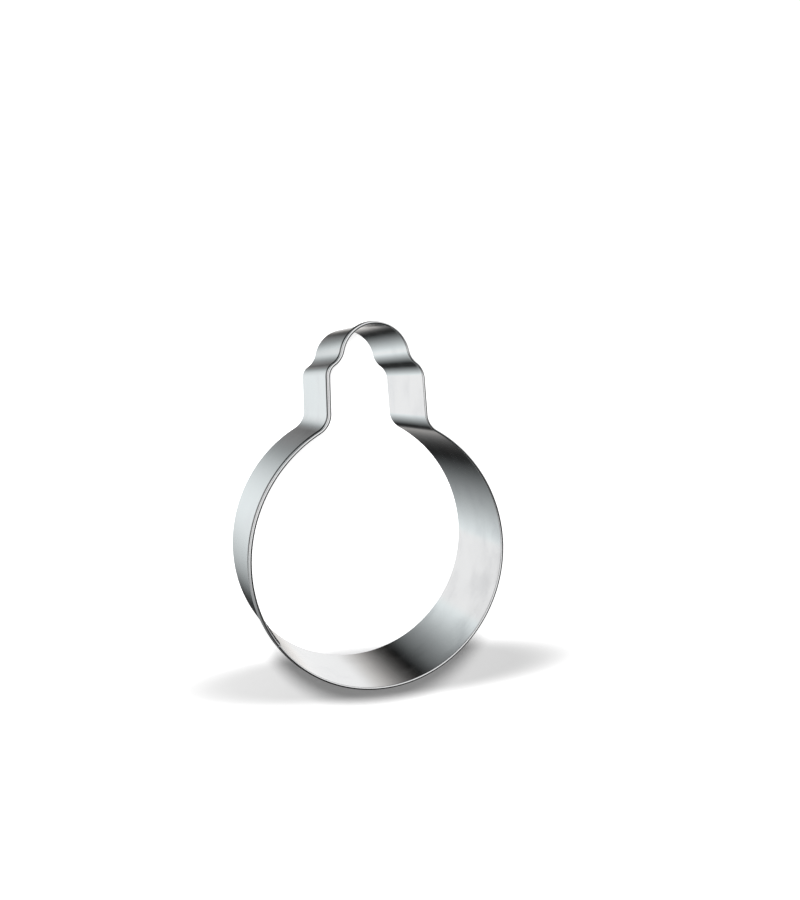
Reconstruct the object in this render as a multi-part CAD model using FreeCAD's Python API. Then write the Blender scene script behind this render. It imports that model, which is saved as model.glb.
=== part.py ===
import FreeCAD, Part
import math
import os

from FreeCAD import Vector

# Light bulb cookie cutter: one strip of thin stainless steel. One long edge is folded over into a
# hem, and the strip is bent on edge into the outline of a bulb with a neck and a stepped cap.
# Its two ends are lapped and spot-welded low on the left of the bulb.
# Millimetres. The cutter lies on its cutting edge: +Z is up and +Y runs from the bulb to the cap.
# The origin is on the plane of the cutting edge, under the middle of the outline.

# Strip and hem. The fold springs back a little, so the hem's gap is wider at its mouth.
sheet_thickness = 0.3
strip_depth = 25.4
hem_width = 1.6
hem_gap = 0.05
hem_mouth = 0.25

# Outline, measured on the inner face. Heights and angles start from the bulb's centre.
bulb_radius = 32.0
shoulder_radius = 34.5
foot_bend_radius = 5.5
step_hollow_radius = 5.4
cap_radius = 8.1
cap_centre_height = 48.1

# The strip was bent by hand round pins, so its two sides differ a little above the bulb.
right_shoulder_start = 84.0
right_neck_half_width = 11.8
right_neck_taper = 2.7
right_neck_height = 43.0
right_step_corner_radius = 4.4
left_shoulder_start = 100.0
left_neck_half_width = 11.6
left_neck_taper = 0.2
left_neck_height = 44.0
left_step_corner_radius = 3.0

# Lap joint
lap_angle = 215.0
lap_length = 5.0
joggle_length = 1.0
butt_gap = 0.15
relief_slit = 0.3
weld_count = 3
weld_end_margin = 3.5
weld_diameter = 1.8
weld_dent = 0.08

# Sizes that follow from those above
fold_thickness = 2 * sheet_thickness + hem_gap
hem_thickness = 2 * sheet_thickness + hem_mouth
hem_start = strip_depth - hem_width
fold_radius = fold_thickness / 2
fold_height = strip_depth - fold_radius
tongue_top = hem_start - relief_slit
outline_top = cap_centre_height + cap_radius + hem_thickness
outline_bottom = -(bulb_radius + hem_thickness)
bulb_centre = Vector(0, -(outline_top + outline_bottom) / 2, 0)
cap_centre = bulb_centre + Vector(0, cap_centre_height, 0)
UP = Vector(0, 0, 1)
SPARE = 1.0

# The flange leaves the fold along a tangent and ends where the hem is thickest.
flange_reach = math.hypot(hem_thickness - fold_radius, fold_height - hem_start)
flange_slope = math.atan2(fold_height - hem_start, hem_thickness - fold_radius)
flange_tilt = math.acos(fold_radius / flange_reach) - flange_slope
flange_inside = hem_thickness - sheet_thickness / math.cos(flange_tilt)


def direction(degrees):
    """Unit vector in the plan, turned anticlockwise from +X."""
    return Vector(math.cos(math.radians(degrees)), math.sin(math.radians(degrees)), 0)


def heading(vector):
    """Angle of a plan vector in degrees, anticlockwise from +X."""
    return math.degrees(math.atan2(vector.y, vector.x))


def left_of(vector):
    """The plan vector turned a quarter turn to the left."""
    return Vector(-vector.y, vector.x, 0)


def circles_meeting(centre_a, radius_a, centre_b, radius_b):
    """The higher of the two points at these distances from two centres."""
    span = centre_b - centre_a
    distance = span.Length
    along = (radius_a ** 2 - radius_b ** 2 + distance ** 2) / (2 * distance)
    aside = math.sqrt(radius_a ** 2 - along ** 2)
    unit = span / distance
    middle = centre_a + unit * along
    options = [middle + left_of(unit) * aside, middle - left_of(unit) * aside]
    return max(options, key=lambda point: point.y)


def line_meets_circle(point, way, centre, radius):
    """Where a line through a point last crosses a circle, going the given way."""
    nearest = point + way * (centre - point).dot(way)
    return nearest + way * math.sqrt(radius ** 2 - (nearest - centre).Length ** 2)


def half_outline(shoulder_start, neck_half_width, neck_taper, neck_height, corner_radius):
    """Runs and bends of the inner face's right half, from the bottom of the bulb up to the cap.

    A run is ("run", start, end). A bend is ("bend", start, centre, degrees), and its degrees are
    positive where it turns to the left.
    """
    # The shoulder leaves the bulb along its tangent, in a slightly wider arc.
    shoulder_heading = 90 - shoulder_start
    shoulder_point = bulb_centre + direction(shoulder_heading) * bulb_radius
    shoulder_centre = shoulder_point - direction(shoulder_heading) * shoulder_radius

    # The foot of the neck is a bend the other way that touches the shoulder and the neck's line.
    neck_top = bulb_centre + Vector(neck_half_width, neck_height, 0)
    neck_way = direction(90 + neck_taper)
    outside = -left_of(neck_way)
    foot_centre = line_meets_circle(
        neck_top + outside * foot_bend_radius, neck_way,
        shoulder_centre, shoulder_radius + foot_bend_radius)
    to_foot = (foot_centre - shoulder_centre).normalize()
    foot_start = shoulder_centre + to_foot * shoulder_radius
    foot_end = foot_centre - outside * foot_bend_radius

    # The step is a corner that turns in from the neck, then a hollow that turns up into the cap.
    corner_centre = neck_top - outside * corner_radius
    hollow_centre = circles_meeting(
        cap_centre, cap_radius + step_hollow_radius,
        corner_centre, corner_radius + step_hollow_radius)
    to_hollow = (hollow_centre - corner_centre).normalize()
    corner_end = corner_centre + to_hollow * corner_radius
    corner_turn = heading(to_hollow) - neck_taper
    to_hollow_end = (hollow_centre - cap_centre).normalize()
    hollow_end = cap_centre + to_hollow_end * cap_radius
    return [
        ("bend", bulb_centre - Vector(0, bulb_radius, 0), bulb_centre, 180 - shoulder_start),
        ("bend", shoulder_point, shoulder_centre, heading(to_foot) - shoulder_heading),
        ("bend", foot_start, foot_centre, neck_taper - heading(to_foot)),
        ("run", foot_end, neck_top),
        ("bend", neck_top, corner_centre, corner_turn),
        ("bend", corner_end, hollow_centre, heading(to_hollow_end) - heading(to_hollow)),
        ("bend", hollow_end, cap_centre, 90 - heading(to_hollow_end)),
    ]


def hemmed_section(start, outward):
    """Section of the folded strip as an upright face on a point of the inner outline."""
    def at(out, height):
        return start + outward * out + UP * height

    def on_fold(radius, angle):
        return at(fold_radius + radius * math.cos(angle), fold_height + radius * math.sin(angle))

    edges = [
        Part.LineSegment(at(0, 0), at(sheet_thickness, 0)),
        Part.LineSegment(at(sheet_thickness, 0), at(sheet_thickness, fold_height)),
        Part.LineSegment(at(sheet_thickness, fold_height), on_fold(hem_gap / 2, flange_tilt)),
        Part.LineSegment(on_fold(hem_gap / 2, flange_tilt), at(flange_inside, hem_start)),
        Part.LineSegment(at(flange_inside, hem_start), at(hem_thickness, hem_start)),
        Part.LineSegment(at(hem_thickness, hem_start), on_fold(fold_radius, flange_tilt)),
        Part.Arc(on_fold(fold_radius, flange_tilt), at(fold_radius, strip_depth), at(0, fold_height)),
        Part.LineSegment(at(0, fold_height), at(0, 0)),
    ]
    return Part.Face(Part.Wire([edge.toShape() for edge in edges]))


def swept(stretch):
    """One run or bend of the strip, with its hem on the outside."""
    if stretch[0] == "run":
        start, end = stretch[1:]
        outward = -left_of((end - start).normalize())
        return hemmed_section(start, outward).extrude(end - start)
    start, centre, turn = stretch[1:]
    outward = (start - centre).normalize() * math.copysign(1, turn)
    return hemmed_section(start, outward).revolve(centre, UP, turn)


def closed_strip():
    """The strip bent round the whole outline, before its ends are parted and lapped."""
    right_half = half_outline(
        right_shoulder_start, right_neck_half_width, right_neck_taper,
        right_neck_height, right_step_corner_radius)
    left_half = half_outline(
        left_shoulder_start, left_neck_half_width, left_neck_taper,
        left_neck_height, left_step_corner_radius)
    right = [swept(stretch) for stretch in right_half]
    left = [swept(stretch).mirror(Vector(0, 0, 0), Vector(1, 0, 0)) for stretch in left_half]
    return right[0].fuse(right[1:] + left).removeSplitter()


def arc_degrees(length):
    """How far a length along the bulb's inner face turns about its centre."""
    return math.degrees(length / bulb_radius)


def on_bulb(radius, degrees, height=0.0):
    """A point at a radius, an angle and a height about the bulb's centre."""
    return bulb_centre + direction(degrees) * radius + UP * height


def bulb_sector(inner, outer, start, end, low, high):
    """Block between two radii, two angles and two heights about the bulb's centre."""
    middle = (start + end) / 2
    edges = [
        Part.Arc(on_bulb(inner, start), on_bulb(inner, middle), on_bulb(inner, end)),
        Part.LineSegment(on_bulb(inner, end), on_bulb(outer, end)),
        Part.Arc(on_bulb(outer, end), on_bulb(outer, middle), on_bulb(outer, start)),
        Part.LineSegment(on_bulb(outer, start), on_bulb(inner, start)),
    ]
    block = Part.Face(Part.Wire([edge.toShape() for edge in edges])).extrude(UP * (high - low))
    block.translate(UP * low)
    return block


def lap_tongue():
    """The strip's second end: a ramp that steps inwards and a tongue behind the first end."""
    joggle_end = lap_angle + arc_degrees(joggle_length)
    tongue = bulb_sector(
        bulb_radius - sheet_thickness, bulb_radius,
        lap_angle - arc_degrees(lap_length), lap_angle, 0, tongue_top)
    corners = [
        on_bulb(bulb_radius - sheet_thickness, lap_angle),
        on_bulb(bulb_radius, lap_angle),
        on_bulb(bulb_radius + sheet_thickness, joggle_end),
        on_bulb(bulb_radius, joggle_end),
    ]
    ramp = Part.Face(Part.makePolygon(corners + corners[:1])).extrude(UP * tongue_top)
    return tongue.fuse(ramp)


def joint_room():
    """What is cut from the closed strip: the place of the ramp, and the slit where the hem butts."""
    joggle_end = lap_angle + arc_degrees(joggle_length)
    inner = bulb_radius - SPARE
    outer = bulb_radius + hem_thickness + SPARE
    ramp_place = bulb_sector(inner, outer, lap_angle, joggle_end, -SPARE, hem_start)
    slit_end = lap_angle + arc_degrees(butt_gap)
    slit = bulb_sector(inner, outer, lap_angle, slit_end, hem_start - SPARE, strip_depth + SPARE)
    return ramp_place.fuse(slit)


def weld_dents():
    """Shallow round dents that the welding tips leave on both faces of the lap."""
    tip_radius = (weld_diameter ** 2 / 4 + weld_dent ** 2) / (2 * weld_dent)
    inner_tip = bulb_radius - sheet_thickness - tip_radius + weld_dent
    outer_tip = bulb_radius + sheet_thickness + tip_radius - weld_dent
    degrees = lap_angle - arc_degrees(lap_length / 2)
    pitch = (tongue_top - 2 * weld_end_margin) / (weld_count - 1)
    dents = []
    for number in range(weld_count):
        height = weld_end_margin + number * pitch
        for tip in (inner_tip, outer_tip):
            dents.append(Part.makeSphere(tip_radius, on_bulb(tip, degrees, height)))
    return dents


def cutter_strip():
    """The whole cutter: one folded strip with its ends lapped and welded."""
    strip = closed_strip().cut(joint_room()).fuse(lap_tongue())
    for dent in weld_dents():
        strip = strip.cut(dent)
    return strip


os.makedirs("parts", exist_ok=True)
strip = cutter_strip()
box = strip.optimalBoundingBox(False, False)
print("cutter_strip valid", strip.isValid(), "solids", len(strip.Solids), "faces", len(strip.Faces))
print("from", round(box.XMin, 3), round(box.YMin, 3), round(box.ZMin, 3),
      "to", round(box.XMax, 3), round(box.YMax, 3), round(box.ZMax, 3),
      "volume", round(strip.Volume, 2))
strip.exportStep("parts/cutter_strip.step")
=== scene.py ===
# %% [markdown]
# A light bulb cookie cutter
#
# The real object is one strip of thin stainless steel. One long edge is folded back on itself, so
# that the hand presses on a round hem and not on a sharp edge. The strip is then bent round pins
# into the outline of a bulb, and its two ends are lapped and spot-welded.
#
# This lesson models it the same way: draw the folded section once, sweep it round the outline, and
# close it with a lap joint. Then come the steel, the table, the lights and the camera.

import math

import bpy
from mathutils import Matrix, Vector


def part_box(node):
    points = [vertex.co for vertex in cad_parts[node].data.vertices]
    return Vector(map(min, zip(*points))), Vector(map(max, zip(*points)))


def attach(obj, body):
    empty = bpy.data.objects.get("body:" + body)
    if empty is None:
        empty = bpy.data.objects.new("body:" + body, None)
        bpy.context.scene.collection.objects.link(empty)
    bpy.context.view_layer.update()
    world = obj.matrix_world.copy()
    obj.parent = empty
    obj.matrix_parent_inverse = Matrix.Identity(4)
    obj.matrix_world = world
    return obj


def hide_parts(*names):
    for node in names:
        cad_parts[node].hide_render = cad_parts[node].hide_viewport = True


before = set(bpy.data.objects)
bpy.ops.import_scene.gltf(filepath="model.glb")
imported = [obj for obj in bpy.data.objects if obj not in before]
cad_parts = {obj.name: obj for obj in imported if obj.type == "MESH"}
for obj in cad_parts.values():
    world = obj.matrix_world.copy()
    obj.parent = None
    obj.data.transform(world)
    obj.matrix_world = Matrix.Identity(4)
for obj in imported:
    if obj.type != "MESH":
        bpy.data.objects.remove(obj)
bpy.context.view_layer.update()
low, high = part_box("cutter_strip")
print("frame:", sorted(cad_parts), "box in mm:", [round(1000 * side, 2) for side in high - low])

# %% [markdown]
# The sizes of the cutter
#
# A sheet-metal part is described by very few numbers: the sheet, the hem and the bends. They are
# the same as in the construction model, in metres. What the frame already knows, such as the depth
# of the strip and the radius of the bulb, is read from it.
#
# The strip was bent by hand, so the two sides of the neck differ by up to a millimetre. Each side
# therefore has a small set of sizes of its own, with heights and angles from the bulb's centre.

# %% Sizes
MM = 0.001
SHEET = 0.3 * MM
HEM_WIDTH = 1.6 * MM
HEM_GAP = 0.05 * MM
HEM_MOUTH = 0.25 * MM
HEM_THICKNESS = 2 * SHEET + HEM_MOUTH
STRIP_DEPTH = high.z
HEM_START = STRIP_DEPTH - HEM_WIDTH
FOLD_RADIUS = SHEET + HEM_GAP / 2
FOLD_HEIGHT = STRIP_DEPTH - FOLD_RADIUS

SHOULDER_RADIUS = 34.5 * MM
FOOT_BEND = 5.5 * MM
STEP_HOLLOW = 5.4 * MM
CAP_RADIUS = 8.1 * MM
CAP_HEIGHT = 48.1 * MM
BULB_RADIUS = high.y - low.y - CAP_HEIGHT - CAP_RADIUS - 2 * HEM_THICKNESS
BULB_CENTRE = Vector((0, low.y + HEM_THICKNESS + BULB_RADIUS, 0))
CAP_CENTRE = BULB_CENTRE + Vector((0, CAP_HEIGHT, 0))

RIGHT_SIDE = {
    "shoulder_start": math.radians(84), "neck_half_width": 11.8 * MM,
    "neck_taper": math.radians(2.7), "neck_height": 43.0 * MM, "step_corner": 4.4 * MM,
}
LEFT_SIDE = {
    "shoulder_start": math.radians(100), "neck_half_width": 11.6 * MM,
    "neck_taper": math.radians(0.2), "neck_height": 44.0 * MM, "step_corner": 3.0 * MM,
}

LAP_ANGLE = math.radians(215)
LAP_LENGTH = 5.0 * MM
JOGGLE_LENGTH = 1.0 * MM
BUTT_GAP = 0.15 * MM
RELIEF_SLIT = 0.3 * MM
TONGUE_TOP = HEM_START - RELIEF_SLIT
print("bulb radius in mm:", round(BULB_RADIUS / MM, 2), "hem thickness:", round(HEM_THICKNESS / MM, 2))

# %% [markdown]
# The outline as a list of bends and runs
#
# A workshop bends such a strip in order, from one end to the other: so many degrees round this pin,
# then straight on, then round the next. One function works out a side of the outline, going up from
# the bottom of the bulb to the top of the cap. The left side is mirrored, and the way back down the
# right side is the same list read backwards.
#
# The bends touch each other, so the pins' places follow from the sizes. The foot of the neck is the
# pin that touches both the shoulder and the neck, and the step's hollow touches corner and cap.

# %% One side of the outline
UP = Vector((0, 0, 1))


def way(angle):
    """Unit vector in the plan, turned anticlockwise from +X."""
    return Vector((math.cos(angle), math.sin(angle), 0))


def heading(vector):
    """Angle of a plan vector, anticlockwise from +X."""
    return math.atan2(vector.y, vector.x)


def left_of(vector):
    """The plan vector turned a quarter turn to the left."""
    return Vector((-vector.y, vector.x, 0))


def one_side(side):
    """Bends as ("bend", centre, turn, radius) and runs as ("run", step), going up on the right."""
    leave = math.pi / 2 - side["shoulder_start"]
    shoulder_centre = BULB_CENTRE - way(leave) * (SHOULDER_RADIUS - BULB_RADIUS)
    neck_top = BULB_CENTRE + Vector((side["neck_half_width"], side["neck_height"], 0))
    neck_way = way(math.pi / 2 + side["neck_taper"])
    outside = -left_of(neck_way)

    beside = neck_top + outside * FOOT_BEND
    nearest = beside + neck_way * (shoulder_centre - beside).dot(neck_way)
    climb = math.sqrt((SHOULDER_RADIUS + FOOT_BEND) ** 2 - (nearest - shoulder_centre).length_squared)
    foot_centre = nearest + neck_way * climb
    foot_end = foot_centre - outside * FOOT_BEND
    shoulder_end = heading(foot_centre - shoulder_centre)

    corner_centre = neck_top - outside * side["step_corner"]
    span = corner_centre - CAP_CENTRE
    far = CAP_RADIUS + STEP_HOLLOW
    near = side["step_corner"] + STEP_HOLLOW
    along = (far ** 2 - near ** 2 + span.length_squared) / (2 * span.length)
    hollow_centre = (
        CAP_CENTRE + span.normalized() * along
        + left_of(span.normalized()) * math.sqrt(far ** 2 - along ** 2))
    corner_end = heading(hollow_centre - corner_centre)
    cap_start = heading(hollow_centre - CAP_CENTRE)
    return [
        ("bend", BULB_CENTRE, math.pi - side["shoulder_start"], BULB_RADIUS),
        ("bend", shoulder_centre, shoulder_end - leave, SHOULDER_RADIUS),
        ("bend", foot_centre, side["neck_taper"] - shoulder_end, FOOT_BEND),
        ("run", neck_top - foot_end),
        ("bend", corner_centre, corner_end - side["neck_taper"], side["step_corner"]),
        ("bend", hollow_centre, cap_start - corner_end, STEP_HOLLOW),
        ("bend", CAP_CENTRE, math.pi / 2 - cap_start, CAP_RADIUS),
    ]


right = one_side(RIGHT_SIDE)
left = one_side(LEFT_SIDE)
for name, parts in (("right", right), ("left", left)):
    turns = [round(math.degrees(part[2]), 1) for part in parts if part[0] == "bend"]
    print(name, "side turns in degrees:", turns)

# %% The whole way round, from one end of the strip to the other
def mirrored(part):
    """The same bend or run on the left side, still going up."""
    if part[0] == "run":
        return "run", Vector((-part[1].x, part[1].y, 0))
    kind, centre, turn, radius = part
    return kind, Vector((-centre.x, centre.y, 0)), -turn, radius


def backwards(part):
    """The same bend or run, gone along the other way."""
    if part[0] == "run":
        return "run", -part[1]
    kind, centre, turn, radius = part
    return kind, centre, -turn, radius


BOTTOM = math.radians(270)
LAP_TURN = LAP_LENGTH / BULB_RADIUS
JOGGLE_END = LAP_ANGLE + JOGGLE_LENGTH / BULB_RADIUS
up_the_left = [mirrored(part) for part in left]
down_the_right = [backwards(part) for part in reversed(right)]
lap = ("bend", BULB_CENTRE, -LAP_TURN, BULB_RADIUS)
first_turn = up_the_left[0][2] + (BOTTOM - LAP_ANGLE) + LAP_TURN
last_turn = down_the_right[-1][2] - (BOTTOM - JOGGLE_END)
route = (
    [("bend", BULB_CENTRE, first_turn, BULB_RADIUS)]
    + up_the_left[1:]
    + down_the_right[:-1]
    + [("bend", BULB_CENTRE, last_turn, BULB_RADIUS)]
)
length = sum(part[1].length if part[0] == "run" else abs(part[2]) * part[3] for part in [lap] + route)
print("strip length in mm, without its tongue:", round(length / MM, 1))

# %% [markdown]
# Small helpers for working by hand in code
#
# In edit mode an operator acts on whatever is selected. With a mouse one would click; here a vertex
# is picked by where it is, so the script still works when a size changes.

# %% Selection helpers
TOUCH = 0.004 * MM


def deselect_everything():
    """Nothing selected and object mode, which is how each new piece starts."""
    if bpy.context.object and bpy.context.object.mode != "OBJECT":
        bpy.ops.object.mode_set(mode="OBJECT")
    bpy.ops.object.select_all(action="DESELECT")


def pick(piece, kind, test):
    """Selects only the vertices, edges or faces whose place passes the test, and goes to edit mode."""
    if piece.mode != "OBJECT":
        bpy.ops.object.mode_set(mode="OBJECT")
    mesh = piece.data
    for group in (mesh.vertices, mesh.edges, mesh.polygons):
        group.foreach_set("select", [False] * len(group))
    places = {
        "VERT": lambda: [vertex.co for vertex in mesh.vertices],
        "EDGE": lambda: [
            sum((mesh.vertices[end].co for end in edge.vertices), Vector()) / 2 for edge in mesh.edges],
        "FACE": lambda: [face.center for face in mesh.polygons],
    }[kind]()
    group = {"VERT": mesh.vertices, "EDGE": mesh.edges, "FACE": mesh.polygons}[kind]
    chosen = [bool(test(place)) for place in places]
    group.foreach_set("select", chosen)
    bpy.ops.object.mode_set(mode="EDIT")
    bpy.ops.mesh.select_mode(type=kind)
    return sum(chosen)


print("picking is within", TOUCH / MM, "mm")

# %% [markdown]
# The folded section
#
# The section is drawn standing at the strip's first end. The web is a plane as thick as the sheet.
# Its top edge is spun almost half a turn about the middle of the fold, which is what the folding
# tool does to the sheet, and the flange is extruded down from there. The tool presses the flange
# nearly flat but not its last edge, which springs open as a narrow lip.
#
# The lip matters for the picture. A flange that is parallel to the web mirrors the same thing as the
# web and can't be seen, while the lip mirrors a darker part of the room and draws the fine line along
# the rim. The sheared corners are broken by a tiny bevel, as every real edge catches some light.

# %% Draw the section
OUT = way(LAP_ANGLE)
TRAVEL = way(LAP_ANGLE - math.pi / 2)
START = BULB_CENTRE + OUT * BULB_RADIUS
FOLD_STEPS = 12
FLANGE_LEAN = math.radians(4)
LIP_WIDTH = 0.8 * MM

deselect_everything()
bpy.ops.mesh.primitive_plane_add(
    size=1, location=START + OUT * SHEET / 2 + UP * FOLD_HEIGHT / 2,
    rotation=(math.pi / 2, 0, LAP_ANGLE))
strip = bpy.context.object
strip.name = "bent_strip"
strip.scale = (SHEET, FOLD_HEIGHT, 1)
bpy.ops.object.transform_apply(location=True, rotation=True, scale=True)

fold_centre = START + OUT * FOLD_RADIUS + UP * FOLD_HEIGHT
fold_end = FOLD_RADIUS * (OUT * math.cos(FLANGE_LEAN) + UP * math.sin(FLANGE_LEAN))
flange_drop = FOLD_HEIGHT + fold_end.z - HEM_START - LIP_WIDTH
flange_step = OUT * flange_drop * math.tan(FLANGE_LEAN) - UP * flange_drop
lip_spread = HEM_THICKNESS - FOLD_RADIUS - (fold_end + flange_step).dot(OUT)
lip_step = OUT * lip_spread - UP * LIP_WIDTH
pick(strip, "EDGE", lambda place: place.z > FOLD_HEIGHT - TOUCH)
bpy.ops.mesh.spin(steps=FOLD_STEPS, angle=math.pi - FLANGE_LEAN, center=fold_centre, axis=TRAVEL)
for step in (flange_step, lip_step):
    bpy.ops.mesh.extrude_region_move(TRANSFORM_OT_translate={"value": step})
bpy.ops.object.mode_set(mode="OBJECT")
top = max(vertex.co.z for vertex in strip.data.vertices)
lip_lean = math.degrees(math.atan2(lip_spread, LIP_WIDTH))
print("crest of the fold in mm:", round(top / MM, 3), "the lip leans out by", round(lip_lean, 1), "degrees")

# %% Mark the heights of the joint and break the corners
EDGE_BREAK = 0.06 * MM


def outness(place):
    """How far a place lies outside the inner face, at the strip's first end."""
    return (place - START).dot(OUT)


def is_sheared_corner(place):
    """The corners of the sheet's two long cut edges."""
    flange_end = abs(place.z - HEM_START) < EDGE_BREAK and outness(place) > SHEET + TOUCH
    return place.z < TOUCH or flange_end


for height in (TONGUE_TOP, HEM_START):
    pick(strip, "FACE", lambda place: outness(place) < SHEET and place.z < FOLD_HEIGHT)
    bpy.ops.mesh.bisect(plane_co=(0, 0, height), plane_no=(0, 0, 1))

corners = pick(strip, "VERT", is_sheared_corner)
bpy.ops.mesh.bevel(offset=EDGE_BREAK, segments=3, affect="VERTICES")
print("corners broken:", corners)

# %% Keep only the outline of the section
pick(strip, "FACE", lambda place: True)
bpy.ops.mesh.region_to_loop()
bpy.ops.mesh.select_all(action="INVERT")
bpy.ops.mesh.delete(type="EDGE")
bpy.ops.object.mode_set(mode="OBJECT")
print("section outline:", len(strip.data.vertices), "points,", len(strip.data.edges), "edges,",
      len(strip.data.polygons), "faces")

# %% [markdown]
# Bending the strip round the outline
#
# Spin is the bending tool: it turns the section about a bend's centre and leaves a wall behind it.
# Extrude makes the straight runs. A curve with a bevel would do the whole route in one go, but its
# section would twist at the small bends, and the real strip keeps its edges level all the way round.
#
# The lap is cut into many narrow faces, because the weld dents need them. The rest needs only enough
# faces for a smooth rim: a wide bend takes a larger angle per face than a tight one needs.

# %% Bend the strip
LAP_STEPS = 36
WIDE_BEND = 2 * CAP_RADIUS
WIDE_STEP = math.radians(2)
TIGHT_STEP = math.radians(4)


def sweep(part):
    """Carries the selected edges along one bend or run and leaves the strip's faces behind them."""
    if part[0] == "run":
        bpy.ops.mesh.extrude_region_move(TRANSFORM_OT_translate={"value": part[1]})
        return 1
    kind, centre, turn, radius = part
    step = WIDE_STEP if radius > WIDE_BEND else TIGHT_STEP
    steps = LAP_STEPS if part is lap else max(1, round(abs(turn) / step))
    bpy.ops.mesh.spin(steps=steps, angle=turn, center=centre, axis=(0, 0, -1))
    return steps


pick(strip, "EDGE", lambda place: True)
sections = sum(sweep(part) for part in [lap] + route)
bpy.ops.object.mode_set(mode="OBJECT")
print("sections along the strip:", sections, "points:", len(strip.data.vertices))

# %% [markdown]
# The lap joint
#
# The strip's second end must get behind the first one. Below the hem the sheet is stepped inwards by
# its own thickness, which a sheet-metal worker calls a joggle, and runs on as a tongue. The hem is
# too stiff for that, so a short slit frees it from the tongue, and the two hems just butt.

# %% Part the second end into tongue and hem
ANGLE_TOUCH = TOUCH / BULB_RADIUS


def on_radius(place, angle):
    """True for places on the upright plane through the bulb's centre at this angle."""
    turned = (heading(place - BULB_CENTRE) - angle) % (2 * math.pi)
    return turned < ANGLE_TOUCH or turned > 2 * math.pi - ANGLE_TOUCH


def reach(place):
    """Distance of a place from the bulb's centre, seen in plan."""
    return (place - BULB_CENTRE).xy.length


def on_web_end(place, height):
    """True for the two corners of the web at this height on the second end."""
    level = abs(place.z - height) < TOUCH
    return level and on_radius(place, JOGGLE_END) and reach(place) < BULB_RADIUS + SHEET + TOUCH


for height in (TONGUE_TOP, HEM_START):
    pick(strip, "VERT", lambda place: on_web_end(place, height))
    bpy.ops.mesh.edge_face_add()
pick(strip, "VERT", lambda place: on_web_end(place, HEM_START) or on_web_end(place, TONGUE_TOP))
bpy.ops.mesh.edge_face_add()
print("slit between tongue and hem in mm:", round((HEM_START - TONGUE_TOP) / MM, 2))

# %% The joggle and the tongue below the slit
JOGGLE_STEPS = 4
LAP_CLEARANCE = 0.01 * MM
STEP_IN = SHEET + LAP_CLEARANCE
step_back = -(JOGGLE_LENGTH / BULB_RADIUS) / JOGGLE_STEPS

below_slit = pick(strip, "EDGE", lambda place: on_radius(place, JOGGLE_END) and place.z < TONGUE_TOP + TOUCH)
for number in range(JOGGLE_STEPS):
    bpy.ops.mesh.spin(steps=1, angle=step_back, center=BULB_CENTRE, axis=(0, 0, -1))
    inward = -way(JOGGLE_END + step_back * (number + 1))
    bpy.ops.transform.translate(value=inward * STEP_IN / JOGGLE_STEPS)
bpy.ops.mesh.spin(steps=LAP_STEPS, angle=-LAP_TURN, center=BULB_CENTRE, axis=(0, 0, -1))
bpy.ops.mesh.edge_face_add()
print("edges bent into the tongue:", below_slit)

# %% The hem above the slit, and the strip's first end
hem_end_turn = (JOGGLE_LENGTH - BUTT_GAP) / BULB_RADIUS
above_slit = pick(strip, "EDGE", lambda place: on_radius(place, JOGGLE_END) and place.z > HEM_START - TOUCH)
bpy.ops.mesh.spin(steps=1, angle=-hem_end_turn, center=BULB_CENTRE, axis=(0, 0, -1))
bpy.ops.mesh.edge_face_add()
pick(strip, "EDGE", lambda place: on_radius(place, LAP_ANGLE) and reach(place) > BULB_RADIUS - TOUCH)
bpy.ops.mesh.edge_face_add()
bpy.ops.object.mode_set(mode="OBJECT")
print("edges carried to the hem's end:", above_slit)

# %% [markdown]
# Spot welds
#
# The welding tips press the two sheets together and leave a shallow round dent on both faces, one
# above the other along the middle of the lap. The sheets get level cuts round each weld first. Each
# dent is then one point pushed in with proportional editing, whose inverse-square falloff gives the
# round hollow of a domed tip, and which follows the surface so that it leaves the other sheet alone.

# %% Cut the lap round each weld
WELD_COUNT = 3
WELD_END_MARGIN = 3.5 * MM
WELD_RADIUS = 0.9 * MM
WELD_DENT = 0.08 * MM
WELD_CUTS = 6
WELD_ROOM = 1.2 * WELD_RADIUS

weld_way = way(LAP_ANGLE - LAP_TURN / 2)
weld_pitch = (TONGUE_TOP - 2 * WELD_END_MARGIN) / (WELD_COUNT - 1)
weld_heights = [WELD_END_MARGIN + number * weld_pitch for number in range(WELD_COUNT)]
outer_face = BULB_RADIUS + SHEET
inner_face = BULB_RADIUS - STEP_IN


def near_welds(place):
    """True on the two visible faces of the lap, as far to the side as the dents go."""
    aside = abs((place - BULB_CENTRE).dot(left_of(weld_way)))
    visible = min(abs(reach(place) - outer_face), abs(reach(place) - inner_face)) < TOUCH
    return visible and aside < WELD_ROOM and place.z < TONGUE_TOP


for height in weld_heights:
    for number in range(-WELD_CUTS, WELD_CUTS + 1):
        level = height + number * WELD_RADIUS / WELD_CUTS
        pick(strip, "FACE", near_welds)
        bpy.ops.mesh.bisect(plane_co=(0, 0, level), plane_no=(0, 0, 1))
print("weld heights in mm:", [round(height / MM, 2) for height in weld_heights])

# %% Press the dents
for height in weld_heights:
    for face, push in ((outer_face, -WELD_DENT), (inner_face, WELD_DENT)):
        tip = BULB_CENTRE + weld_way * face + UP * height
        found = pick(strip, "VERT", lambda place: (place - tip).length < TOUCH)
        bpy.ops.transform.translate(
            value=weld_way * push, use_proportional_edit=True, use_proportional_connected=True,
            proportional_edit_falloff="INVERSE_SQUARE", proportional_size=WELD_RADIUS)
        print("dent at", round(height / MM, 2), "mm, points taken by the tip:", found)
bpy.ops.object.mode_set(mode="OBJECT")

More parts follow.
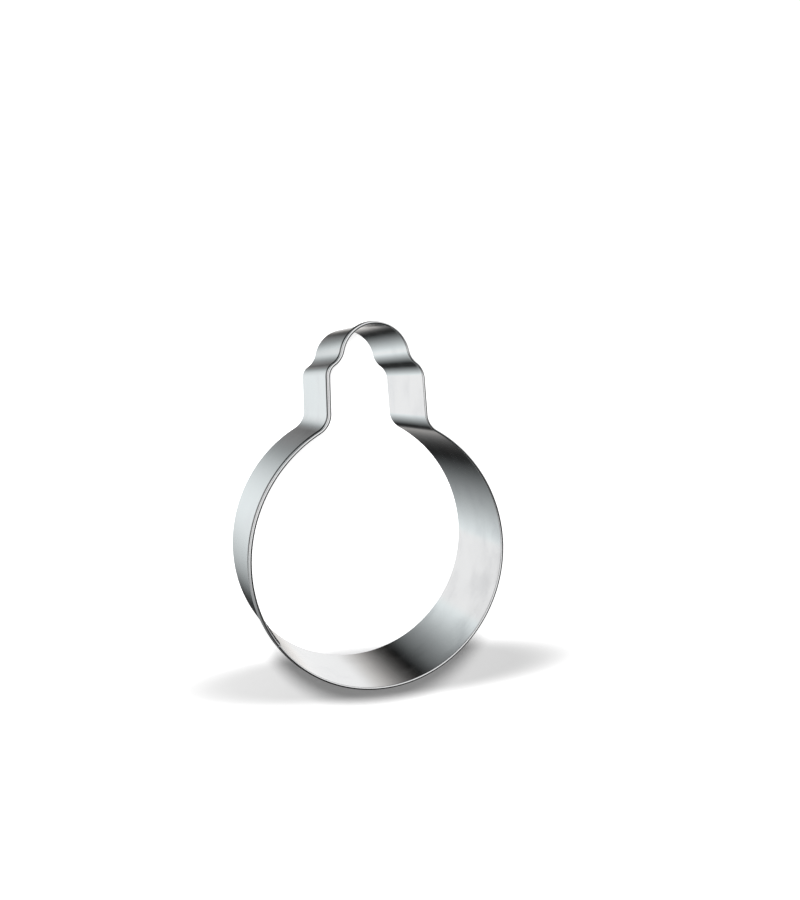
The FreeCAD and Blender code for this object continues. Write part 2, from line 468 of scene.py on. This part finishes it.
# %% [markdown]
# Surface directions
#
# A mirror-like wall shows every small error of its normals. Plain smooth shading would average the
# tall flat web with the narrow faces of the hem and the broken edge, and draw false dark bands. The
# Weighted Normal modifier lets the larger face decide, so the web stays as flat as it is. Its
# threshold is an area in square metres, so it must be zero for faces as small as these.
#
# The lip is too narrow for that. It is kept flat by marking the edges above and below it as sharp.

# %% Finish the strip's mesh
SMOOTH_ANGLE = math.radians(40)
MERGE_DISTANCE = TOUCH / 10


def beside_lip(place):
    """True for the edges along the strip where the lip starts and where its corner is broken."""
    starts = abs(place.z - HEM_START - LIP_WIDTH) < TOUCH
    return starts or abs(place.z - HEM_START - EDGE_BREAK) < TOUCH


pick(strip, "FACE", lambda place: True)
bpy.ops.mesh.remove_doubles(threshold=MERGE_DISTANCE)
bpy.ops.mesh.normals_make_consistent(inside=False)
bpy.ops.object.mode_set(mode="OBJECT")
bpy.ops.object.shade_smooth_by_angle(angle=SMOOTH_ANGLE)
lip_edges = pick(strip, "EDGE", beside_lip)
bpy.ops.mesh.mark_sharp()
bpy.ops.object.mode_set(mode="OBJECT")
bpy.ops.object.modifier_add(type="WEIGHTED_NORMAL")
strip.modifiers[0].keep_sharp = True
strip.modifiers[0].thresh = 0.0
bpy.ops.object.modifier_apply(modifier=strip.modifiers[0].name)
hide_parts("cutter_strip")
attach(strip, "root")
print("strip:", len(strip.data.vertices), "points,", len(strip.data.polygons), "faces,",
      lip_edges, "sharp edges by the lip")

# %% [markdown]
# Steel
#
# Cutters like this come from coils of bright rolled stainless strip. Close up it isn't a perfect
# mirror: the rolls leave a fine grain along the strip, bending leaves faint upright waves, fingers
# leave duller patches, and the welds leave a straw-coloured ring. The sheared edge is rougher.
#
# Each of these is a mask made from noise or from a place on the object. They change roughness, colour
# and the bump, and the metal itself stays one plain metallic shader, so that it works in any light.

# %% Helpers for building node trees
def new_node(tree, kind, inputs=(), **settings):
    """A node with its settings, and its input sockets set or linked by name."""
    node = tree.nodes.new(kind)
    for name, value in settings.items():
        setattr(node, name, value)
    for name, value in dict(inputs).items():
        if isinstance(value, bpy.types.NodeSocket):
            tree.links.new(value, node.inputs[name])
        else:
            node.inputs[name].default_value = value
    return node


def noise(tree, place, grain, detail=2.0):
    """Noise from 0 to 1 whose grain along X, Y and Z is given as a size in metres."""
    stretched = new_node(tree, "ShaderNodeMapping", {"Vector": place, "Scale": [1 / size for size in grain]})
    return new_node(tree, "ShaderNodeTexNoise", {
        "Vector": stretched.outputs["Vector"], "Scale": 1.0, "Detail": detail}).outputs["Fac"]


def between(tree, value, start, end, low_value=0.0, high_value=1.0):
    """Smooth step of a value from low_value at start to high_value at end."""
    return new_node(tree, "ShaderNodeMapRange", {
        "Value": value, "From Min": start, "From Max": end,
        "To Min": low_value, "To Max": high_value}, interpolation_type="SMOOTHSTEP").outputs["Result"]


def calculate(tree, operation, first, second):
    """One Math node."""
    node = new_node(tree, "ShaderNodeMath", {0: first, 1: second}, operation=operation)
    return node.outputs["Value"]


def blend(tree, mask, first, second):
    """Colour that goes from first to second where the mask is 1."""
    node = new_node(tree, "ShaderNodeMix", data_type="RGBA")
    for socket, value in ((node.inputs[0], mask), (node.inputs[6], first), (node.inputs[7], second)):
        if isinstance(value, bpy.types.NodeSocket):
            tree.links.new(value, socket)
        else:
            socket.default_value = value
    return node.outputs[2]


print("node helpers are ready")

# %% The masks of the steel
BRIGHT_STEEL = (0.80, 0.805, 0.81, 1)
HANDLED_STEEL = (0.77, 0.775, 0.785, 1)
SHEARED_STEEL = (0.60, 0.60, 0.61, 1)
HEAT_TINT = (0.62, 0.50, 0.34, 1)

GRAIN_SIZE = (30 * MM, 30 * MM, 0.12 * MM)
WAVE_SIZE = (4 * MM, 4 * MM, 60 * MM)
PATCH_SIZE = (9 * MM, 9 * MM, 7 * MM)
SPECK_SIZE = (0.5 * MM, 0.5 * MM, 0.4 * MM)
SHEARED_TOP = 0.14 * MM
SHEARED_FULL = 0.04 * MM

steel = bpy.data.materials.new("rolled_steel")
steel.use_nodes = True
tree = steel.node_tree
shader = tree.nodes["Principled BSDF"]
place = new_node(tree, "ShaderNodeTexCoord").outputs["Object"]
height = new_node(tree, "ShaderNodeSeparateXYZ", {"Vector": place}).outputs["Z"]

grain = noise(tree, place, GRAIN_SIZE, detail=4)
waves = noise(tree, place, WAVE_SIZE, detail=1)
patches = noise(tree, place, PATCH_SIZE, detail=4)
specks = noise(tree, place, SPECK_SIZE, detail=3)
handled = between(tree, patches, 0.48, 0.72)
sheared = between(tree, height, SHEARED_TOP, SHEARED_FULL)
print("masks: grain, waves, handled patches, specks and the sheared edge")

# %% The rings that the welds leave
RING_INSIDE = 0.7 * MM
RING_MIDDLE = 1.1 * MM
RING_OUTSIDE = 1.9 * MM

weld_distance = None
for weld_height in weld_heights:
    centre = BULB_CENTRE + weld_way * BULB_RADIUS + UP * weld_height
    distance = new_node(
        tree, "ShaderNodeVectorMath", {0: place, 1: centre}, operation="DISTANCE").outputs["Value"]
    weld_distance = distance if weld_distance is None else calculate(tree, "MINIMUM", weld_distance, distance)
ring_fades = between(tree, weld_distance, RING_OUTSIDE, RING_MIDDLE)
ring_starts = between(tree, weld_distance, RING_INSIDE, RING_MIDDLE)
ring = calculate(tree, "MULTIPLY", ring_fades, ring_starts)
print("heat rings round", len(weld_heights), "welds")

# %% Put the steel together
RING_TINT = 0.55
POLISHED, DULLED = 0.10, 0.17
SPECK_DULLS, RING_DULLS, SHEAR_DULLS = 0.05, 0.12, 0.25
GRAIN_DEPTH, WAVE_DEPTH = 0.0006, 0.006

worn = blend(tree, handled, BRIGHT_STEEL, HANDLED_STEEL)
tinted = blend(tree, calculate(tree, "MULTIPLY", ring, RING_TINT), worn, HEAT_TINT)
colour = blend(tree, sheared, tinted, SHEARED_STEEL)
tree.links.new(colour, shader.inputs["Base Color"])

patchy = between(tree, patches, 0.3, 0.75, POLISHED, DULLED)
speckled = calculate(tree, "ADD", patchy, between(tree, specks, 0.55, 0.8, 0.0, SPECK_DULLS))
sooty = calculate(tree, "ADD", speckled, calculate(tree, "MULTIPLY", ring, RING_DULLS))
rough = calculate(tree, "ADD", sooty, calculate(tree, "MULTIPLY", sheared, SHEAR_DULLS))
tree.links.new(rough, shader.inputs["Roughness"])

grain_relief = calculate(tree, "MULTIPLY", grain, GRAIN_DEPTH)
wave_relief = calculate(tree, "MULTIPLY", waves, WAVE_DEPTH)
relief = calculate(tree, "ADD", grain_relief, wave_relief)
bump = new_node(tree, "ShaderNodeBump", {"Height": relief, "Distance": MM})
tree.links.new(bump.outputs["Normal"], shader.inputs["Normal"])
shader.inputs["Metallic"].default_value = 1.0
strip.data.materials.append(steel)
print("steel nodes:", len(tree.nodes))

# %% [markdown]
# The studio
#
# Bright steel has hardly any look of its own: it shows the room. In the photograph the cutter stands
# upright before a white backdrop, with white panels at its left and right and open, darker gaps
# between them. Here the cutter lies down, so the same room is laid round it: the backdrop is below,
# the panels stand round it and the camera's side of the room is above.
#
# The room is a colour for each direction. Four rings lie one above the other, and each goes once
# round the horizon: the outsides of the walls mirror the lowest, their insides the next one, the lip
# of the hem the one above it, and the crest of the hem all the rest. Only glossy rays see the rings.
# The camera sees white, and all else is lit by one even, soft light.
#
# A stop of a ring is an angle, a brightness and a tint. Those of the two rings that the walls mirror
# were typed from figures that a scratch program worked out from the photograph, and then rounded.
# Those of the lip and the crest were tuned by comparing renders with the photograph.

# %% Panels and gaps round the studio
WHITE = (1.0, 1.0, 1.0)
COOL = (0.94, 1.0, 1.01)
WARM = (1.03, 1.0, 0.97)

# Degrees round the cutter from +X, brightness and tint: what the outsides of the walls mirror
OUTSIDE_ROOM = [
    (-180, 0.95, COOL), (-160, 0.9, COOL), (-140, 0.7, COOL), (-120, 0.55, COOL), (-100, 0.25, COOL),
    (-85, 0.1, COOL), (-70, 0.0, WHITE), (-45, 0.5, WARM), (-10, 1.0, WHITE), (20, 0.95, WHITE),
    (40, 0.45, WARM), (50, 0.15, WARM), (60, 0.05, WARM), (70, 0.2, WHITE), (90, 0.25, WHITE),
    (105, 0.3, COOL), (120, 0.5, COOL), (140, 0.75, COOL), (160, 0.9, COOL), (180, 0.95, COOL),
]
# What the insides of the walls mirror
INSIDE_ROOM = [
    (-180, 1.1, COOL), (-160, 1.1, COOL), (-155, 1.0, COOL), (-140, 0.65, COOL), (-125, 0.4, COOL),
    (-110, 0.2, COOL), (-95, 0.05, COOL), (-85, 0.0, WHITE), (-70, 0.05, WHITE), (-60, 0.15, WHITE),
    (-50, 0.4, WARM), (-35, 0.7, WARM), (-20, 0.95, WARM), (-10, 1.05, WHITE), (25, 1.1, WHITE),
    (35, 0.95, WHITE), (45, 0.65, WARM), (55, 0.35, WARM), (65, 0.1, WARM), (75, 0.0, WHITE),
    (80, 0.0, WHITE), (90, 0.15, COOL), (100, 0.25, COOL), (110, 0.4, COOL), (120, 0.6, COOL),
    (130, 0.85, COOL), (140, 1.05, COOL), (160, 1.1, WHITE), (180, 1.1, COOL),
]
# The ring above the walls' rooms, for the lip of the hem and the sides of its fold
LIP_ROOM = [
    (-180, 0.1, WHITE), (-165, 0.2, WHITE), (-150, 0.3, WHITE), (-130, 0.3, WHITE), (-110, 0.2, WHITE),
    (-85, 0.0, WHITE), (-20, 0.0, WHITE), (-5, 0.3, WHITE), (5, 0.9, WHITE), (40, 1.0, WHITE),
    (50, 0.6, WHITE), (65, 0.2, WHITE), (75, 0.0, WHITE), (130, 0.0, WHITE), (145, 0.1, WHITE),
    (160, 0.2, WHITE), (170, 0.15, WHITE), (180, 0.1, WHITE),
]
# All above it, for the crest of the hem
CREST_ROOM = [
    (-180, 1.1, WHITE), (-170, 1.0, WHITE), (-160, 0.8, WHITE), (-145, 0.3, WHITE), (-130, 0.0, WHITE),
    (-5, 0.0, WHITE), (5, 0.4, WHITE), (15, 0.95, WHITE), (30, 1.0, WHITE), (130, 1.0, WHITE),
    (180, 1.1, WHITE),
]


def ring_of_colours(tree, angle_share, room):
    """Ramp round the horizon; the share goes from 0 at -180 degrees to 1 at 180."""
    ramp = new_node(tree, "ShaderNodeValToRGB", {"Fac": angle_share})
    colours = ramp.color_ramp
    colours.interpolation = "B_SPLINE"
    while len(colours.elements) > 1:
        colours.elements.remove(colours.elements[0])
    for number, (degrees, level, tint) in enumerate(room):
        position = (degrees + 180) / 360
        stop = colours.elements[0] if number == 0 else colours.elements.new(position)
        stop.position = position
        stop.color = [level * part for part in tint] + [1]
    return ramp.outputs["Color"]


world = bpy.data.worlds.new("studio")
bpy.context.scene.world = world
world.use_nodes = True
tree = world.node_tree
tree.nodes.clear()
ray = new_node(tree, "ShaderNodeTexCoord").outputs["Generated"]
axes = new_node(tree, "ShaderNodeSeparateXYZ", {"Vector": ray}).outputs
turned = calculate(tree, "ARCTAN2", axes["Y"], axes["X"])
angle_share = new_node(tree, "ShaderNodeMapRange", {
    "Value": turned, "From Min": -math.pi, "From Max": math.pi}).outputs["Result"]
rooms = (OUTSIDE_ROOM, INSIDE_ROOM, LIP_ROOM, CREST_ROOM)
outside, inside, lip, crest = [ring_of_colours(tree, angle_share, room) for room in rooms]
print("studio stops:", [len(room) for room in rooms])

# %% Stack the rings and light the room
SOFT_LIGHT = 0.35
# Steepness of a mirrored ray, from -1 straight down to 1 straight up, between which two rings meet
OUTSIDE_MEETS_INSIDE = (-0.965, -0.945)
WALLS_MEET_LIP = (-0.845, -0.825)
LIP_MEETS_CREST = (-0.22, -0.10)


def any_of(tree, names):
    """Value that is 1 for any of these kinds of ray."""
    rays = new_node(tree, "ShaderNodeLightPath").outputs
    total = rays[names[0]]
    for name in names[1:]:
        total = calculate(tree, "MAXIMUM", total, rays[name])
    return total


steepness = axes["Z"]
walls = blend(tree, between(tree, steepness, *OUTSIDE_MEETS_INSIDE), outside, inside)
lower_half = blend(tree, between(tree, steepness, *WALLS_MEET_LIP), walls, lip)
whole = blend(tree, between(tree, steepness, *LIP_MEETS_CREST), lower_half, crest)
mirrored_room = new_node(tree, "ShaderNodeBackground", {"Color": whole})
plain_white = new_node(tree, "ShaderNodeBackground", {"Color": (1, 1, 1, 1)})
soft_light = new_node(tree, "ShaderNodeBackground", {"Color": (1, 1, 1, 1), "Strength": SOFT_LIGHT})
for_metal = new_node(tree, "ShaderNodeMixShader", {
    0: any_of(tree, ["Is Glossy Ray", "Is Transmission Ray"]),
    1: soft_light.outputs[0], 2: mirrored_room.outputs[0]})
for_all = new_node(tree, "ShaderNodeMixShader", {
    0: any_of(tree, ["Is Camera Ray"]), 1: for_metal.outputs[0], 2: plain_white.outputs[0]})
new_node(tree, "ShaderNodeOutputWorld", {"Surface": for_all.outputs[0]})
print("soft light:", SOFT_LIGHT)

# %% [markdown]
# The table
#
# A white sheet under the cutter. The camera gets an extra lift from it, so that it is as white as the
# backdrop of the photograph. The lift leaves out a long oval in front of the bulb, where the
# photograph keeps a soft shadow: this oval is a painted shadow, darker only for lack of lift, laid
# round the lamp's real shadow. Glossy rays pass through the sheet: what the walls mirror in the
# photograph is the backdrop behind the cutter, and that lies below it here.

# %% The table
TABLE_SIZE = 4.0
PAPER = (0.8, 0.8, 0.8, 1)
CAMERA_LIFT = 0.8
# Painted shadow: a soft darker oval on the sheet in front of the bulb, where the camera's lift is left out
PAINTED_SHADOW_CENTRE = Vector((8, -50.3, 0)) * MM
PAINTED_SHADOW_SIZE = Vector((80, 11, 80)) * MM
PAINTED_SHADOW_TURN = math.radians(-3)
PAINTED_SHADOW_CORE = 0.5

deselect_everything()
bpy.ops.mesh.primitive_plane_add(size=TABLE_SIZE, location=(0, 0, 0))
table = bpy.context.object
table.name = "table"
paper = bpy.data.materials.new("white_paper")
paper.use_nodes = True
tree = paper.node_tree
tree.nodes.clear()
sheet = new_node(tree, "ShaderNodeBsdfDiffuse", {"Color": PAPER})
spot = new_node(tree, "ShaderNodeTexCoord").outputs["Object"]
painted_shadow_oval = new_node(tree, "ShaderNodeMapping", {
    "Vector": spot, "Location": PAINTED_SHADOW_CENTRE, "Rotation": (0, 0, PAINTED_SHADOW_TURN), "Scale": PAINTED_SHADOW_SIZE},
    vector_type="TEXTURE")
away = new_node(
    tree, "ShaderNodeVectorMath", {0: painted_shadow_oval.outputs["Vector"]}, operation="LENGTH").outputs["Value"]
# Painted shadow: the lift falls to nothing towards the oval's core, so the sheet shows darker there
lifted = between(tree, away, PAINTED_SHADOW_CORE, 1.0, 0.0, CAMERA_LIFT)
lift = new_node(tree, "ShaderNodeEmission", {
    "Color": (1, 1, 1, 1), "Strength": calculate(tree, "MULTIPLY", lifted, any_of(tree, ["Is Camera Ray"]))})
seen = new_node(tree, "ShaderNodeAddShader", {0: sheet.outputs[0], 1: lift.outputs[0]})
clear = new_node(tree, "ShaderNodeBsdfTransparent")
surface = new_node(tree, "ShaderNodeMixShader", {
    0: any_of(tree, ["Is Glossy Ray", "Is Transmission Ray"]), 1: seen.outputs[0], 2: clear.outputs[0]})
new_node(tree, "ShaderNodeOutputMaterial", {"Surface": surface.outputs[0]})
table.data.materials.append(paper)
print("table:", TABLE_SIZE, "m wide")

# %% [markdown]
# The lamp
#
# One small soft lamp stands beside the camera, on the cap's side. The walls then hide nearly all of
# their own shadows from the camera, and only the one that falls out below the bulb shows, with a soft
# edge, as in the photograph. The steel doesn't mirror the lamp: it mirrors the panels.

# %% The lamp
KEY_PLACE = Vector((-60, 58, 200)) * MM
KEY_SIZE = 35 * MM
KEY_POWER = 0.4


def soft_lamp(name, location, size, power):
    """Round area lamp that faces the cutter."""
    lamp_data = bpy.data.lights.new(name, "AREA")
    lamp_data.shape = "DISK"
    lamp_data.size = size
    lamp_data.energy = power
    lamp = bpy.data.objects.new(name, lamp_data)
    bpy.context.scene.collection.objects.link(lamp)
    lamp.location = location
    lamp.rotation_euler = (-location).to_track_quat("-Z", "Y").to_euler()
    lamp.visible_glossy = False
    return lamp


key = soft_lamp("key", KEY_PLACE, KEY_SIZE, KEY_POWER)
print("lamp:", key.name, "at", [round(part / MM) for part in key.location], "mm")

# %% [markdown]
# The camera
#
# The photograph was taken from close by, a little above and to the left of the cutter's middle, which
# is why the walls on the right show their insides and the walls on the left their outsides. Place,
# turn and lens were fitted to the two rims. The photograph is cropped, so its optical centre isn't in
# its middle, and the lens shift moves it there.

# %% The camera
PHOTO_SIZE = Vector((800, 900))
OPTICAL_CENTRE = Vector((350, 420))
CAMERA_PLACE = Vector((-65.54, 31.49, 209.83)) * MM
CAMERA_TURN = Vector((-2.354, -17.646, -2.077))
LENS = 32.63
NEAREST_SEEN = 10 * MM

offset = (PHOTO_SIZE / 2 - OPTICAL_CENTRE) / max(PHOTO_SIZE)
camera = bpy.data.objects.new("camera", bpy.data.cameras.new("camera"))
bpy.context.scene.collection.objects.link(camera)
camera.location = CAMERA_PLACE
camera.rotation_euler = [math.radians(part) for part in CAMERA_TURN]
camera.data.lens = LENS
camera.data.shift_x = offset.x
camera.data.shift_y = -offset.y
camera.data.clip_start = NEAREST_SEEN
bpy.context.scene.camera = camera
bpy.context.scene.view_settings.view_transform = "Standard"
print("camera at", [round(part / MM) for part in camera.location], "mm, lens", LENS, "mm")
